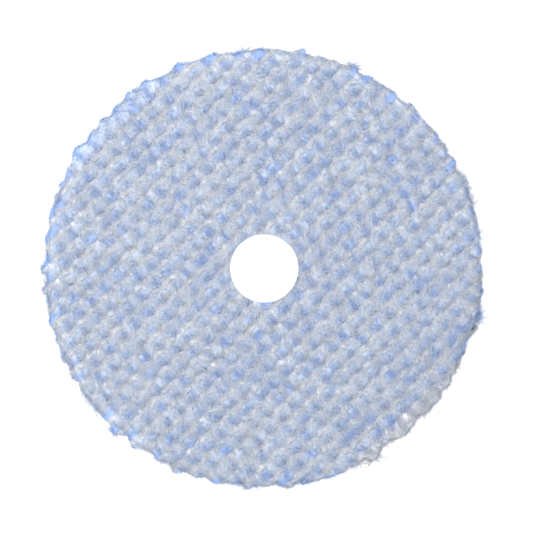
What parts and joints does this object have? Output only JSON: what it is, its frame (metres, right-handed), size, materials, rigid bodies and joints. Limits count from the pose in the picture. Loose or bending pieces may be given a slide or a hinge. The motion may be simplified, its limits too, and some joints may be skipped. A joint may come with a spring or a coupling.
{
  "type": "polishing pad",
  "caption": "Round machine polishing pad: rows of fluffy blue and white yarn on a base cloth, over a foam core and a loop backing, with a centre hole.",
  "frame": {"origin": "on the centre bore's axis, in the plane of the loop backing's lower face, which the pad lies on", "axes": "+Z out of the working face, along the spin axis; the yarn rows run at 44 degrees from +X towards +Y"},
  "size_m": [0.14, 0.14, 0.0205],
  "materials": {
    "blue_yarn": "fluffy light blue split-fibre yarn, matt with a soft sheen at the tips",
    "white_yarn": "fluffy off-white split-fibre yarn, matt",
    "base_cloth": "close woven polyester ground cloth, matt",
    "foam": null,
    "adhesive_film": "thin cured glue film, pale and slightly glossy at its cut edge",
    "loop_cloth": "brushed knitted loop cloth, light grey, soft nap"
  },
  "bodies": {
    "backing": {"loop_backing": "loop_cloth", "back_adhesive": "adhesive_film", "foam_core": "foam"},
    "face": {"face_adhesive": "adhesive_film", "base_cloth": "base_cloth", "pile_blue_01": "blue_yarn", "pile_blue_02": "blue_yarn", "pile_blue_03": "blue_yarn", "pile_blue_04": "blue_yarn", "pile_blue_05": "blue_yarn", "pile_blue_06": "blue_yarn", "pile_blue_07": "blue_yarn", "pile_blue_08": "blue_yarn", "pile_blue_09": "blue_yarn", "pile_blue_10": "blue_yarn", "pile_blue_11": "blue_yarn", "pile_blue_12": "blue_yarn", "pile_blue_13": "blue_yarn", "pile_blue_14": "blue_yarn", "pile_blue_15": "blue_yarn", "pile_blue_16": "blue_yarn", "pile_blue_17": "blue_yarn", "pile_blue_18": "blue_yarn", "pile_blue_19": "blue_yarn", "pile_blue_20": "blue_yarn", "pile_blue_21": "blue_yarn", "pile_blue_22": "blue_yarn", "pile_blue_23": "blue_yarn", "pile_blue_24": "blue_yarn", "pile_blue_25": "blue_yarn", "pile_blue_26": "blue_yarn", "pile_blue_27": "blue_yarn", "pile_white_01": "white_yarn", "pile_white_02": "white_yarn", "pile_white_03": "white_yarn", "pile_white_04": "white_yarn", "pile_white_05": "white_yarn", "pile_white_06": "white_yarn", "pile_white_07": "white_yarn", "pile_white_08": "white_yarn", "pile_white_09": "white_yarn", "pile_white_10": "white_yarn", "pile_white_11": "white_yarn", "pile_white_12": "white_yarn", "pile_white_13": "white_yarn", "pile_white_14": "white_yarn", "pile_white_15": "white_yarn", "pile_white_16": "white_yarn", "pile_white_17": "white_yarn", "pile_white_18": "white_yarn", "pile_white_19": "white_yarn", "pile_white_20": "white_yarn", "pile_white_21": "white_yarn", "pile_white_22": "white_yarn", "pile_white_23": "white_yarn", "pile_white_24": "white_yarn", "pile_white_25": "white_yarn", "pile_white_26": "white_yarn", "pile_white_27": "white_yarn"}
  },
  "joints": [
    {"name": "foam_press", "type": "slide", "parent": "backing", "child": "face", "axis": [0, 0, 1], "range_m": [-0.0032, 0], "stiffness_N_per_m": 9000, "deforming": ["foam_core"]}
  ]
}
